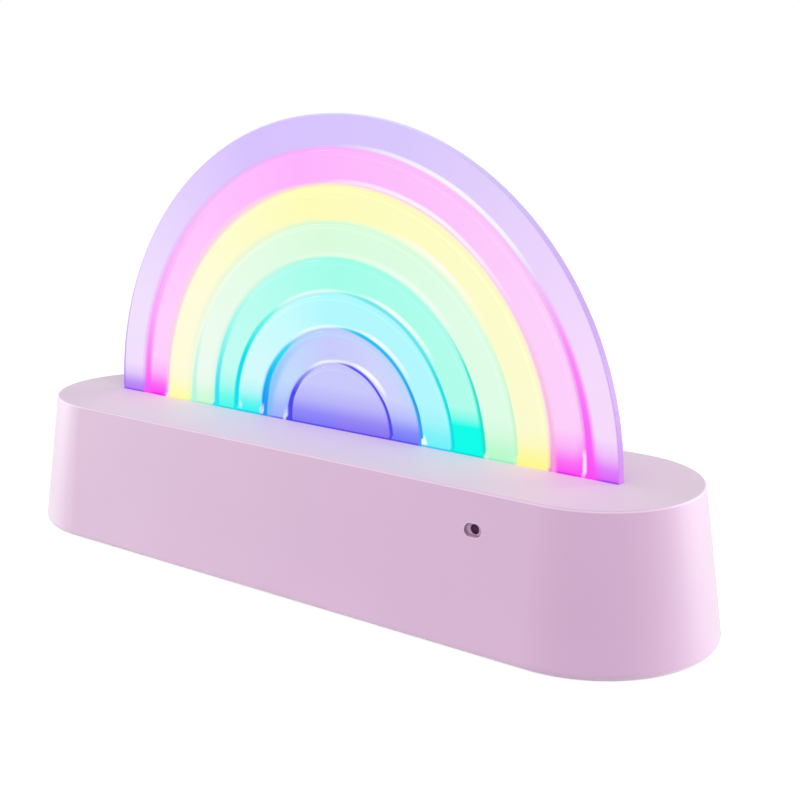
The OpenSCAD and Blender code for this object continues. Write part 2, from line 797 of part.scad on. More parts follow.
// The two battery wires leave the well through windows in its end walls
module battery_wires() {
    on_board = control_z + board_t;
    over_well = well_top + well_t + wire_gap;
    out = well_l / 2 + well_t + wire_gap;
    land = control_near + wire_t;
    color("#C23B3B") {
        translate([well_l / 2 + wire_gap, cell_pitch - wire_w / 2, wire_z - wire_t / 2])
            cube([well_t + wire_t, wire_w, wire_t]);
        translate([out, cell_pitch - wire_w / 2, wire_z - wire_t / 2])
            cube([wire_t, wire_w, on_board + 2 * wire_t - wire_z]);
        translate([out, cell_pitch - wire_w / 2, on_board + wire_t / 2])
            cube([wire_w, wire_w, wire_t]);
        translate([out, 0, on_board + wire_t / 2])
            cube([wire_w, cell_pitch + wire_w / 2, wire_t]);
        translate([out, 0, on_board + wire_t / 2])
            cube([land - out, wire_w, wire_t]);
        translate([land - wire_t, 0, on_board])
            cube([wire_t, wire_w, wire_t]);
        translate([-out - wire_t + wire_gap, -cell_pitch - wire_w / 2, wire_z - wire_t / 2])
            cube([well_t + wire_t, wire_w, wire_t]);
        translate([-out - wire_t, -cell_pitch - wire_w / 2, wire_z - wire_t / 2])
            cube([wire_t, wire_w, over_well + wire_t - wire_z + wire_t / 2]);
        translate([-out - wire_t, -cell_pitch - wire_w / 2, over_well])
            cube([2 * out + 2 * wire_t, wire_w, wire_t]);
        translate([out, -cell_pitch - wire_w / 2, on_board + wire_t / 2])
            cube([wire_t, wire_w, over_well - on_board]);
        translate([out, -cell_pitch - wire_w / 2, on_board + wire_t / 2])
            cube([wire_w, cell_pitch - wire_w, wire_t]);
        translate([out, -2 * wire_w + wire_w / 2, on_board + wire_t / 2])
            cube([land - out, wire_w, wire_t]);
        translate([land - wire_t, -2 * wire_w + wire_w / 2, on_board])
            cube([wire_t, wire_w, wire_t]);
    }
}

module switch_wires() {
    edge_gap = 1.2;
    run_y = control_w / 2 - edge_gap - wire_t;
    run_z = well_top + well_t + 1;
    start_y = pad_in_y - leaf_t - can_d - 2;
    color("#3A3A40") {
        translate([switch_x - wire_w / 2, run_y, run_z])
            cube([control_near + wire_t - switch_x + wire_w / 2, wire_t, wire_w]);
        translate([control_near, run_y, control_z + board_t])
            cube([wire_t, wire_t, run_z + wire_w - control_z - board_t]);
        translate([switch_x - wire_w / 2, run_y, run_z])
            cube([wire_w, start_y - run_y, wire_t]);
    }
}

module rubber_feet() {
    color("#3B3B3F")
        pillars(pad_places, 0, pad_d, plate_z + pad_seat);
}

module housing_screws() {
    color("#B8BABD")
        screws_up(housing_screw_places, plate_z, screw_d, screw_head_d, screw_head_h, plate_t + screw_bite - 1);
}

base_shell();
bottom_plate();
battery_door();
rubber_feet();
housing_screws();
arch_lavender();
arch_pink();
arch_yellow();
arch_green();
arch_mint();
arch_cyan();
arch_periwinkle();
centre_disc();
light_holder();
holder_screws();
led_board();
leds();
led_board_screws();
control_board();
board_parts();
control_board_screws();
sensor_eye();
sensor_board();
switch_body();
switch_knob();
switch_screws();
battery_cells();
contact_plates();
contact_springs();
led_cable();
sensor_cable();
battery_wires();
switch_wires();
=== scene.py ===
"""Looks of the rainbow lamp: a half-round of lit frosted acrylic arches on a moulded battery base."""

import math

import bmesh
import bpy
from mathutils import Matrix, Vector


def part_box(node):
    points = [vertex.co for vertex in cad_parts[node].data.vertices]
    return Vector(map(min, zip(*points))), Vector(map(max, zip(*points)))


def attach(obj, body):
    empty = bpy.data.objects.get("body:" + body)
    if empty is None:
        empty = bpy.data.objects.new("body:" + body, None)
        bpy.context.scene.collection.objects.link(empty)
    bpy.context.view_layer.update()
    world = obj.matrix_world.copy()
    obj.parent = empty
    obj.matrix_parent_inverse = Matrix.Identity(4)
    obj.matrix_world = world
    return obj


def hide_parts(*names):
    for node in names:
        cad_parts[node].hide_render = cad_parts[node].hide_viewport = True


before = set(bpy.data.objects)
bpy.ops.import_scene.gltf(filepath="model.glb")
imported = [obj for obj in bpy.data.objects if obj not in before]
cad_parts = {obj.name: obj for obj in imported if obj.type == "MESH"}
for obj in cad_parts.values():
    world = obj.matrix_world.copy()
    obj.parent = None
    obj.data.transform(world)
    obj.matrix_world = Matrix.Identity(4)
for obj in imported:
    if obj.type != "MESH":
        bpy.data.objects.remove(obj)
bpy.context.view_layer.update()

MM = 0.001
# What many nodes share: a Mix of colours, a Map Range that eases in and out, and the range of noise
COLOURS = {"out": 2, "data_type": "RGBA"}
SOFTLY = {"interpolation_type": "SMOOTHSTEP"}
NOISE_LOW, NOISE_HIGH = 0.3, 0.7


def linear(code):
    """An sRGB hex colour as linear red, green, blue and alpha."""
    parts = [int(code[i : i + 2], 16) / 255 for i in (1, 3, 5)]
    return [c / 12.92 if c <= 0.04045 else ((c + 0.055) / 1.055) ** 2.4 for c in parts] + [1.0]


def add(tree, kind, inputs=(), out=0, stops=(), **settings):
    """Adds a node with its settings, its inputs as values, colours or links, and its ramp stops in rising
    order. Returns one of its outputs."""
    node = tree.nodes.new("ShaderNode" + kind)
    for name, value in settings.items():
        setattr(node, name, value)
    for key, value in dict(inputs).items():
        if isinstance(value, bpy.types.NodeSocket):
            tree.links.new(value, node.inputs[key])
        else:
            node.inputs[key].default_value = linear(value) if isinstance(value, str) else value
    for i, (place, value) in enumerate(stops):
        elements = node.color_ramp.elements
        stop = elements[i] if i < 2 else elements.new(place)
        stop.position = place
        stop.color = linear(value) if isinstance(value, str) else (value, value, value, 1)
    return node.outputs[out] if len(node.outputs) else node


def material(name):
    """An empty node material and its tree."""
    made = bpy.data.materials.new(name)
    made.use_nodes = True
    made.node_tree.nodes.clear()
    return made, made.node_tree


def dress(finish, *nodes):
    """Gives carried-over nodes their finish."""
    for node in nodes:
        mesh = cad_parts[node].data
        mesh.materials.clear()
        mesh.materials.append(finish)


def tones(colour, shade):
    """Ramp stops that turn noise into two close tones."""
    return [(NOISE_LOW, colour), (NOISE_HIGH, shade)]


# Places on the lamp, in millimetres
base_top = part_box("base_shell")[1].z / MM
arch_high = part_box("arch_lavender")[1]
arch_centre_z = arch_high.z / MM - arch_high.x / MM
BANDS = [
    "centre_disc",
    "arch_periwinkle",
    "arch_cyan",
    "arch_mint",
    "arch_green",
    "arch_yellow",
    "arch_pink",
    "arch_lavender",
]
edges = [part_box(name)[1].x / MM for name in BANDS]
HALF_GAP = 0.05  # from a band's edge to the middle of its groove

# The light in each band. "arch" is its colours by degrees from the right foot round to the left one, "right"
# and "left" are its colour over each LED and the millimetres that this glow rises, and "seam" is its colour
# where it meets the base
LIGHT = {
    "centre_disc": {
        "arch": [(0, "#CACAFC"), (90, "#CACAFC")],
        "right": ("#8670F4", 13.5),
        "left": ("#7C74FA", 13.5),
        "seam": "#4A34D8",
    },
    "arch_periwinkle": {
        "arch": [(55, "#D0D5FE"), (95, "#C9CBFD"), (135, "#C3DBFE")],
        "right": ("#7074FC", 12.5),
        "left": ("#9CB4FB", 13),
        "seam": "#5040E0",
    },
    "arch_cyan": {
        "arch": [(95, "#B2F9FE"), (120, "#C6FDFE"), (150, "#D3FCFD")],
        "right": ("#6CF4F8", 13),
        "left": ("#00F6F0", 12),
        "seam": "#18B4EC",
    },
    "arch_mint": {
        "arch": [(40, "#B0FEEC"), (90, "#A2FEEA"), (150, "#C0FEF2")],
        "right": ("#00FEEA", 14),
        "left": ("#40FCEA", 13.5),
        "seam": "#00C8D8",
    },
    "arch_green": {
        "arch": [(45, "#DFFEE7"), (95, "#DAFDDD"), (155, "#EDFDEF")],
        "right": ("#B6FCCC", 12),
        "left": ("#C8FCD6", 10),
        "seam": "#8CF0C0",
    },
    "arch_yellow": {
        "arch": [(20, "#FDFDD0"), (100, "#FEFDB8"), (150, "#FEFDDA")],
        "right": ("#FEFB90", 11),
        "left": ("#FFFFA8", 9.5),
        "seam": "#FFF89A",
    },
    "arch_pink": {
        "arch": [(32, "#FED1FC"), (100, "#FEB2FD"), (158, "#FECFFE")],
        "right": ("#FC42F6", 13),
        "left": ("#FC2CF4", 13.5),
        "seam": "#E020DC",
    },
    "arch_lavender": {
        "arch": [(18, "#F7DCFE"), (75, "#D8C7FD"), (112, "#D7C0FE"), (158, "#F1DFFE")],
        "right": ("#DC5CFA", 12),
        "left": ("#B070F8", 10),
        "seam": "#8040DC",
    },
}
# How strong that glow is by height, as shares of its rise. The mint band's right foot is filled evenly
GLOW = [(0.0, 1.0), (0.3, 0.8), (0.62, 0.3), (1.0, 0.0)]
FULL_GLOW = [(0.0, 1.0), (0.6, 1.0), (0.78, 0.5), (1.0, 0.0)]
FULL_BAND = "arch_mint"
# Over which shares of the half turn the right LED's light gives way to the left one's, for a Map Range's From
CROWN = {1: 0.45, 2: 0.55}
# The seam's colour ends between these heights over the base, and this is its strength
SEAM_LOW, SEAM_HIGH, SEAM_STRENGTH = 0.2, 0.8, 0.75

# Each groove is painted in stripes: the dark line of its wall as painted shade, a haze where two LEDs mix,
# and pale glints as painted highlights.
# A stripe has its colours by degrees from the right foot, how softly its sides end, and rows of degrees,
# inner side, outer side and strength. Softness and sides are in millimetres, sides from the groove's middle
REACH = 6  # the furthest that a side lies from the groove
# The white of the painted glints, and rows of painted highlights that several grooves share
PAINTED_GLINT_WHITE = [(0, "#FFFFFF"), (180, "#FFFFFF")]
RIGHT_PAINTED_GLINT = [
    (36, 2.2, 3.2, 0), (42, 2.2, 3.4, 0.5), (50, 2.2, 3.5, 0.7), (60, 2.1, 3.5, 0.8), (66, 2.1, 3.4, 0.7),
    (72, 2.1, 3.1, 0.5), (80, 1.8, 2.5, 0.22),
]
CROWN_PAINTED_GLINT = [
    (86, 1.6, 2.3, 0.3), (94, 1.3, 2.2, 0.55), (106, 1.1, 2.1, 0.62), (116, 1.0, 1.9, 0.45),
    (125, 0.8, 1.5, 0),
]
SOFT_PAINTED_GLINT = [(36, 2.0, 3.2, 0), (48, 1.9, 3.5, 0.45), (62, 1.9, 3.5, 0.5), (76, 1.8, 3.1, 0.25)]
STRIPES = {
    "centre_disc": [
        # Wall: the line it shows, painted shade
        ([(0, "#5248E8"), (180, "#4A46EC")], 0.3, [
            (0, -1.1, -0.2, 1), (15, -0.9, 0.0, 1), (30, -0.5, 0.5, 1), (45, -0.2, 1.4, 1), (60, 0.3, 1.8, 1),
            (75, 0.6, 1.9, 0.95), (84, 1.1, 1.6, 0.8), (93, 1.2, 1.3, 0), (112, 0.5, 0.7, 0),
            (122, 0.1, 0.9, 0.4), (135, -0.3, 0.9, 0.7), (150, -1.3, 0.8, 1), (165, -2.3, 0.5, 1),
            (180, -3.1, 0.0, 1),
        ]),
        # Glint: a painted highlight
        (PAINTED_GLINT_WHITE, 0.35, [
            (36, 2.2, 3.3, 0), (42, 2.2, 3.6, 0.6), (50, 2.2, 3.7, 0.85), (60, 2.2, 3.6, 1),
            (70, 2.2, 3.3, 0.8), (78, 2.1, 2.8, 0.45), (94, 1.4, 2.2, 0.7), (106, 1.2, 2.0, 0.8),
            (124, 0.8, 1.4, 0), (164, 0.2, 1.2, 0), (172, 0.0, 1.2, 0.5),
        ]),
    ],
    "arch_periwinkle": [
        # Haze
        ([(0, "#A0DCFC"), (90, "#B8DCFE"), (180, "#58B8F8")], 1.2, [
            (10, -2.4, 0.0, 0), (30, -2.6, 0.2, 0.4), (60, -1.6, 0.6, 0.4), (90, -1.8, 1.0, 0.3),
            (120, -3.0, 0.6, 0.5), (150, -4.4, 0.0, 0.8), (170, -5.0, -1.0, 0.6), (180, -5.0, -1.0, 0.4),
        ]),
        # Wall: the line it shows, painted shade
        ([(0, "#4098F4"), (30, "#18AAEC"), (135, "#00E0FA"), (170, "#1C94F6")], 0.35, [
            (0, -1.0, 0.0, 0.9), (15, -0.7, 0.4, 1), (30, -0.5, 1.3, 1), (45, -0.1, 1.7, 1),
            (60, 0.2, 2.0, 1), (75, 0.5, 2.1, 1), (85, 1.1, 1.8, 0.8), (94, 1.3, 1.4, 0),
            (116, 0.5, 0.7, 0), (122, 0.2, 0.8, 0.4), (130, -0.3, 1.0, 0.9), (150, -1.4, 1.1, 1),
            (165, -2.6, 0.8, 1), (180, -2.9, 0.1, 1),
        ]),
        # Glint: a painted highlight, with a painted spark at each end of the groove
        (PAINTED_GLINT_WHITE, 0.35, [
            (3.4, 0.2, 2.2, 0), (4.2, 0.1, 2.2, 0.9), (7.4, 0.4, 1.8, 0.7), (9, 0.6, 1.6, 0),
            *RIGHT_PAINTED_GLINT, *CROWN_PAINTED_GLINT,
            (170, -0.6, 0.8, 0), (174, -1.0, 0.6, 0.6), (176, -1.0, 0.4, 0.6), (177, -0.8, 0.4, 0),
        ]),
    ],
    "arch_cyan": [
        # Wall: the line it shows, painted shade
        ([(20, "#00E8E4"), (60, "#50DCEC"), (125, "#40FCE8"), (155, "#00E4F0")], 0.35, [
            (0, -0.6, 1.0, 1), (15, -0.5, 1.0, 1), (30, -0.5, 1.3, 1), (45, -0.1, 1.7, 0.8),
            (60, 0.4, 2.0, 0.75), (75, 0.5, 2.0, 0.75), (85, 1.1, 1.7, 0.6), (94, 1.2, 1.4, 0),
            (118, 0.9, 1.3, 0), (127, 0.7, 1.6, 0.6), (135, 0.5, 1.8, 0.8), (150, 0.4, 1.6, 1),
            (165, 0.2, 1.4, 1), (180, -0.2, 1.1, 1),
        ]),
        # Glint: a painted highlight, with a painted spark at the left end of the groove
        (PAINTED_GLINT_WHITE, 0.4, [
            *RIGHT_PAINTED_GLINT, *CROWN_PAINTED_GLINT, (172, -2.0, -0.4, 0), (175, -2.6, -0.2, 0.5), (177, -2.6, -0.2, 0),
        ]),
    ],
    "arch_mint": [
        # Wall: the line it shows, painted shade
        ([(22, "#18E8D0"), (44, "#60F0D8"), (140, "#70FCE4"), (170, "#28E6F4")], 0.5, [
            (0, -0.6, 0.8, 1), (15, -0.6, 0.7, 1), (30, -0.1, 1.2, 1), (38, 0.4, 1.3, 0.6), (46, 0.8, 1.4, 0),
            (128, -0.6, 0.8, 0), (140, -1.4, 0.8, 0.4), (150, -2.0, 0.6, 0.6), (165, -2.6, 0.2, 0.9),
            (180, -3.4, -0.4, 1),
        ]),
        # Glint: a painted highlight, with a painted spark at the right end of the groove
        (PAINTED_GLINT_WHITE, 0.5, [
            (1.4, 0.4, 1.8, 0), (2.2, 0.4, 1.8, 0.6), (4, 0.5, 1.7, 0), *SOFT_PAINTED_GLINT, (90, 1.4, 2.6, 0.25),
            (106, 1.3, 2.3, 0.15), (118, 1.0, 1.9, 0),
        ]),
    ],
    "arch_green": [
        # Wall: the line it shows, painted shade
        ([(0, "#B4F6D0"), (180, "#ACF5E4")], 0.6, [
            (0, -0.6, 0.4, 0.6), (15, -0.3, 0.9, 0.6), (28, 0.2, 1.2, 0.4), (38, 0.6, 1.3, 0),
            (150, -2.0, -0.6, 0), (162, -2.8, -0.8, 0.5), (180, -3.6, -0.8, 0.8),
        ]),
        # Glint: a painted highlight
        (PAINTED_GLINT_WHITE, 0.45, [
            (36, 2.0, 3.2, 0), (44, 1.9, 3.3, 0.4), (54, 1.9, 3.5, 0.75), (62, 1.8, 3.4, 0.6),
            (72, 1.6, 3.0, 0.1), (80, 1.6, 2.8, 0),
        ]),
    ],
    "arch_yellow": [
        # Haze
        ([(0, "#F8ACD2"), (40, "#FCC8DC")], 0.9, [
            (0, 0.6, 2.4, 0.8), (15, 0.9, 2.5, 0.7), (30, 1.1, 2.4, 0.5), (40, 1.2, 2.2, 0),
            (110, 0.5, 1.2, 0), (140, 0.3, 1.0, 0.35), (165, 0.0, 0.8, 0.5), (180, -0.2, 0.5, 0.5),
        ]),
        # Glint: a painted highlight, with a painted spark at the left end of the groove
        (PAINTED_GLINT_WHITE, 0.4, [
            (36, 2.2, 3.0, 0), (48, 1.9, 3.0, 0.65), (60, 2.2, 3.3, 0.88), (72, 2.0, 3.1, 0.8),
            (84, 1.7, 2.8, 0.5), (95, 1.0, 2.2, 0), (174, -0.6, 0.4, 0), (177, -0.8, 0.2, 0.8),
        ]),
    ],
    "arch_pink": [
        # Haze over the right LED
        ([(0, "#FA44F6"), (12, "#FA78F8")], 2.4, [
            (0, -1.0, 5.2, 0.9), (4, -1.0, 4.6, 0.7), (9, 0.0, 3.6, 0.2), (13, 0.5, 3, 0),
        ]),
        # Haze
        ([(0, "#FC46F8"), (22, "#FC84FA"), (130, "#FCB0FA"), (160, "#FC9CFA"), (179, "#FC4CF6")], 1.0, [
            (0, 0.2, 3.6, 1), (12, 0.5, 3.5, 1), (24, 0.7, 3.1, 0.95), (34, 0.9, 2.6, 0.5), (44, 1.1, 2.0, 0),
            (120, -1.0, 1.2, 0), (135, -2.2, 1.0, 0.5), (160, -2.8, 0.9, 0.85), (172, -3.2, 0.6, 0.95),
            (180, -3.4, 0.4, 1),
        ]),
        # Wall: the line it shows, painted shade
        ([(0, "#E060DC"), (30, "#DE90DC"), (60, "#E8B0E8")], 0.35, [
            (6, -0.2, 0.5, 0), (12, -0.1, 0.5, 0.3), (34, 0.2, 0.8, 0.4), (50, 0.6, 1.1, 0.25),
            (60, 0.8, 1.2, 0),
        ]),
        # Glint: a painted highlight, with a painted spark at the right end of the groove
        ([(0, "#FFF4FF"), (8, "#FFDCFF"), (30, "#FFFFFF"), (180, "#FFFFFF")], 0.3, [
            (1.2, -0.5, 0.6, 0), (1.7, -0.5, 0.6, 0.95), (5.0, -0.4, 0.7, 0.9), (6.4, -0.4, 0.7, 0),
            (36, 2.0, 2.8, 0), (46, 1.65, 2.9, 0.7), (60, 1.6, 2.9, 0.85), (72, 1.4, 2.6, 0.68),
            (79, 1.4, 2.5, 0.5), (90, 1.2, 1.8, 0),
        ]),
    ],
    "arch_lavender": [
        # The sheet's outer rim
        ([
            (0, "#D086EE"), (12, "#C496E6"), (60, "#CABCF0"), (95, "#E0D8FF"), (165, "#BC9CF8"),
            (180, "#9C6CF0"),
        ], 0.25, [
            (0, -0.2, 2.0, 1), (80, -0.2, 2.0, 1), (92, -0.5, 2.0, 1), (150, -0.5, 2.0, 0.8),
            (180, -1.2, 2.0, 0.8),
        ]),
    ],
}

# Where the colour changes from one band to the next, by degrees, in millimetres outside the groove's middle
CHANGE = [(0, 0.0), (30, 0.7), (60, 1.6), (90, 1.2), (120, 0.7), (150, 0.3), (180, -0.4)]
# It blends over these millimetres to either side, on the right and on the left of the arch. The right value
# gives way to the left one over LEFTWARD, in shares of the half turn, for a Map Range's From
BLEND = {
    "arch_mint": (0.7, 1.4),
    "arch_green": (1.4, 2.4),
    "arch_yellow": (0.9, 1.9),
    "arch_pink": (0.7, 1.2),
}
NARROW_BLEND = (0.4, 0.4)
LEFTWARD = {1: 0.5, 2: 0.72}


def along_arch(points):
    """Ramp stops from points by degrees along the arch."""
    return [(degrees / 180, value) for degrees, value in points]


def course(tree, turn, points, low, high):
    """A value that changes along the arch, from (degrees, value) points."""
    stops = along_arch([(degrees, (value - low) / (high - low)) for degrees, value in points])
    ramp = add(tree, "ValToRGB", {0: turn}, stops=stops)
    return add(tree, "MapRange", {0: ramp, 3: low, 4: high})


def lay_stripe(tree, colour, across, turn, stripe):
    """Paints one stripe of light or shade into the colour."""
    colours, soft, rows = stripe
    inner = course(tree, turn, [(row[0], row[1]) for row in rows], -REACH, REACH)
    outer = course(tree, turn, [(row[0], row[2]) for row in rows], -REACH, REACH)
    strength = course(tree, turn, [(row[0], row[3]) for row in rows], 0, 1)
    past_inner = add(tree, "Math", {0: across, 1: inner}, operation="SUBTRACT")
    past_outer = add(tree, "Math", {0: across, 1: outer}, operation="SUBTRACT")
    begun = add(tree, "MapRange", {0: past_inner, 1: -soft, 2: soft, 4: strength}, **SOFTLY)
    kept = add(tree, "MapRange", {0: past_outer, 1: -soft, 2: soft, 3: 1.0, 4: 0.0}, **SOFTLY)
    share = add(tree, "Math", {0: begun, 1: kept}, operation="MULTIPLY")
    paint = add(tree, "ValToRGB", {0: turn}, stops=along_arch(colours))
    return add(tree, "Mix", {"Factor": share, 6: colour, 7: paint}, **COLOURS)


def band_light(tree, turn, height, band):
    """The light of one band: even over the arch and deep over each LED."""
    light = LIGHT[band]
    (right, right_rise), (left, left_rise) = light["right"], light["left"]
    colour = add(tree, "ValToRGB", {0: turn}, stops=along_arch(light["arch"]))
    over = add(tree, "ValToRGB", {0: turn}, stops=[(CROWN[1], right), (CROWN[2], left)])
    rise = add(tree, "MapRange", {0: turn, **CROWN, 3: right_rise, 4: left_rise})
    up = add(tree, "Math", {0: height, 1: rise}, operation="DIVIDE")
    glow = add(tree, "ValToRGB", {0: up}, stops=GLOW)
    if band == FULL_BAND:
        full = add(tree, "ValToRGB", {0: up}, stops=FULL_GLOW)
        leftward = add(tree, "MapRange", {0: turn, **CROWN}, **SOFTLY)
        glow = add(tree, "Mix", {"Factor": leftward, 6: full, 7: glow}, **COLOURS)
    colour = add(tree, "Mix", {"Factor": glow, 6: colour, 7: over}, **COLOURS)
    fades = {0: height, 1: SEAM_LOW, 2: SEAM_HIGH, 3: SEAM_STRENGTH, 4: 0.0}
    at_seam = add(tree, "MapRange", fades, **SOFTLY)
    return add(tree, "Mix", {"Factor": at_seam, 6: colour, 7: light["seam"]}, **COLOURS)


def blend_bands(tree, turn, beside, groove, inside, outside):
    """Blends two neighbours' light across the groove between them."""
    middle = course(tree, turn, CHANGE, -REACH, REACH)
    past = add(tree, "Math", {0: beside, 1: middle}, operation="SUBTRACT")
    right, left = BLEND.get(groove, NARROW_BLEND)
    soft = add(tree, "MapRange", {0: turn, **LEFTWARD, 3: right, 4: left}, **SOFTLY)
    before = add(tree, "Math", {0: soft, 1: -1.0}, operation="MULTIPLY")
    share = add(tree, "MapRange", {0: past, 1: before, 2: soft}, **SOFTLY)
    return add(tree, "Mix", {"Factor": share, 6: inside, 7: outside}, **COLOURS)


def frosted_acrylic(band):
    """Acrylic: cast sheet, cut and engraved by laser and etched to a frost, with LEDs shining into its feet.
    It glows softly and evenly, most at the feet. On its grooves, lines of shade and white glints of highlight
    are painted into its colour and glow."""
    number = BANDS.index(band)
    made, tree = material("frosted_cast_acrylic_" + band.replace("arch_", ""))
    place = add(tree, "TexCoord", out="Object")
    axes = add(tree, "SeparateXYZ", {0: place}).node.outputs
    rise = add(tree, "Math", {0: axes["Z"], 1: arch_centre_z * MM}, operation="SUBTRACT")
    flat = add(tree, "CombineXYZ", {"X": axes["X"], "Y": rise})
    length = add(tree, "VectorMath", {0: flat}, out="Value", operation="LENGTH")
    above = add(tree, "Math", {0: axes["Z"], 1: base_top * MM}, operation="SUBTRACT")
    height = add(tree, "Math", {0: above, 1: 1 / MM}, operation="MULTIPLY")
    angle = add(tree, "Math", {0: rise, 1: axes["X"]}, operation="ARCTAN2")
    turn = add(tree, "Math", {0: angle, 1: 1 / math.pi}, operation="MULTIPLY", use_clamp=True)

    colour = band_light(tree, turn, height, band)
    for groove in (number - 1, number):
        if groove < 0:
            continue
        # The last edge is the sheet's rim, which has no band outside it
        shared = groove < len(BANDS) - 1
        middle = edges[groove] + (HALF_GAP if shared else 0.0)
        # Millimetres outside the groove's middle
        beside = add(tree, "MapRange", {0: length, 1: 0.0, 2: MM, 3: -middle, 4: 1.0 - middle}, clamp=False)
        if shared:
            other = band_light(tree, turn, height, BANDS[groove if groove < number else number + 1])
            inside, outside = (other, colour) if groove < number else (colour, other)
            colour = blend_bands(tree, turn, beside, BANDS[groove], inside, outside)
        # The groove's painted shade lines, LED haze and painted glints
        for stripe in STRIPES[BANDS[groove]]:
            colour = lay_stripe(tree, colour, beside, turn, stripe)

    # The etch is finer than 0.1 mm; its grain is drawn at 0.4 mm so that it shows
    grain = add(tree, "TexNoise", {"Vector": place, "Scale": 1 / (0.4 * MM), "Detail": 2.0})
    rough = add(tree, "MapRange", {0: grain, 1: NOISE_LOW, 2: NOISE_HIGH, 3: 0.38, 4: 0.48})
    # Most of its light comes from inside, so what it sends back of the room's light is dark
    body = add(tree, "Mix", {"Factor": 0.8, 6: colour, 7: "#000000"}, **COLOURS)
    shader = {
        "Base Color": body,
        "Roughness": rough,
        "IOR": 1.49,
        "Specular IOR Level": 0.1,
        "Normal": add(tree, "Bump", {"Strength": 0.04, "Distance": 0.05 * MM, "Height": grain}),
        "Emission Color": colour,
        "Emission Strength": 0.81,
    }
    add(tree, "OutputMaterial", {"Surface": add(tree, "BsdfPrincipled", shader)})
    return made


for band in BANDS:
    dress(frosted_acrylic(band), band)


# Housing

# Millimetres under the top where the painted highlight along the top edge begins, is full, begins to end and
# ends, and its strength
EDGE_BEGIN, EDGE_FULL, EDGE_FADE, EDGE_END = 0.75, 0.45, 0.3, 0.05
EDGE_STRENGTH = 0.4
FRONT = -25 * MM  # what lies before this is the front wall
# The recess round the eye is a slot with round ends, 5.5 mm wide and 3.6 mm high
eye_low, eye_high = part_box("sensor_eye")
RECESS_R = 1.8 * MM
RECESS_HALF = 0.95 * MM
# Light and shade painted round the eye's recess: a painted highlight round its rim, painted shade on its
# walls and a lighter floor. From the rim inwards: where each starts to end and ends, past the wall, its
# strength and its colour
RECESS_PAINTED_LIGHT = [
    (0.1 * MM, 0.45 * MM, 0.5, "#FFE4F8"),
    (0.03 * MM, 0.12 * MM, 0.95, "#7C006C"),
    (-0.35 * MM, -0.05 * MM, 0.85, "#ECC4E4"),
]


def painted_edge_highlight(tree, skin, up):
    """A highlight painted as a pale band along the top edge."""
    begin, full = (base_top - EDGE_BEGIN) * MM, (base_top - EDGE_FULL) * MM
    fade, end = (base_top - EDGE_FADE) * MM, (base_top - EDGE_END) * MM
    up_to_edge = add(tree, "MapRange", {0: up, 1: begin, 2: full, 4: EDGE_STRENGTH}, **SOFTLY)
    past_edge = add(tree, "MapRange", {0: up, 1: fade, 2: end, 3: 1.0, 4: 0.0}, **SOFTLY)
    edge = add(tree, "Math", {0: up_to_edge, 1: past_edge}, operation="MULTIPLY")
    return add(tree, "Mix", {"Factor": edge, 6: skin, 7: "#FFF0FC"}, **COLOURS)


def painted_recess_light(tree, skin, axes):
    """Painted light and shade in the recess: a pale highlight round its rim, painted shade on its walls and a
    lighter floor.
    """
    off = add(tree, "Math", {0: axes["X"], 1: (eye_low.x + eye_high.x) / 2}, operation="SUBTRACT")
    off = add(tree, "Math", {0: off}, operation="ABSOLUTE")
    off = add(tree, "Math", {0: off, 1: RECESS_HALF}, operation="SUBTRACT")
    off = add(tree, "Math", {0: off, 1: 0.0}, operation="MAXIMUM")
    up = add(tree, "Math", {0: axes["Z"], 1: (eye_low.z + eye_high.z) / 2}, operation="SUBTRACT")
    flat = add(tree, "CombineXYZ", {"X": off, "Y": up})
    away = add(tree, "VectorMath", {0: flat}, out="Value", operation="LENGTH")
    front = add(tree, "Math", {0: axes["Y"], 1: FRONT}, operation="LESS_THAN")
    for start, end, strength, colour in RECESS_PAINTED_LIGHT:
        fades = {0: away, 1: RECESS_R + start, 2: RECESS_R + end, 3: strength, 4: 0.0}
        share = add(tree, "Math", {0: add(tree, "MapRange", fades, **SOFTLY), 1: front}, operation="MULTIPLY")
        skin = add(tree, "Mix", {"Factor": share, 6: skin, 7: colour}, **COLOURS)
    return skin


def moulded_plastic(name, colour, shade, grit=0.6, roughness=0.45, ior=1.53, sheen=0.0, shell=False):
    """An injection moulded plastic: an even skin with the mould's fine grit and a faint cloud of colour.
    A shell also gets a painted highlight along its top edge and painted light and shade round its eye's
    recess.
    """
    made, tree = material(name)
    place = add(tree, "TexCoord", out="Object")
    grain = add(tree, "TexNoise", {"Vector": place, "Scale": 1 / (grit * MM), "Detail": 3.0})
    cloud = add(tree, "TexNoise", {"Vector": place, "Scale": 1 / (40 * MM), "Detail": 1.0})
    tone = add(tree, "MapRange", {0: cloud, 1: NOISE_LOW, 2: NOISE_HIGH})
    skin = add(tree, "Mix", {"Factor": tone, 6: colour, 7: shade}, **COLOURS)
    # A painted highlight along the top edge and painted light and shade round the eye's recess
    if shell:
        axes = add(tree, "SeparateXYZ", {0: place}).node.outputs
        skin = painted_recess_light(tree, painted_edge_highlight(tree, skin, axes["Z"]), axes)
    rough = {0: grain, 1: NOISE_LOW, 2: NOISE_HIGH, 3: roughness - 0.04, 4: roughness + 0.04}
    shader = {
        "Base Color": skin,
        "Roughness": add(tree, "MapRange", rough),
        "IOR": ior,
        "Normal": add(tree, "Bump", {"Strength": 0.05, "Distance": 0.05 * MM, "Height": grain}),
        "Sheen Weight": sheen,
        "Sheen Roughness": 0.6,
    }
    add(tree, "OutputMaterial", {"Surface": add(tree, "BsdfPrincipled", shader)})
    return made


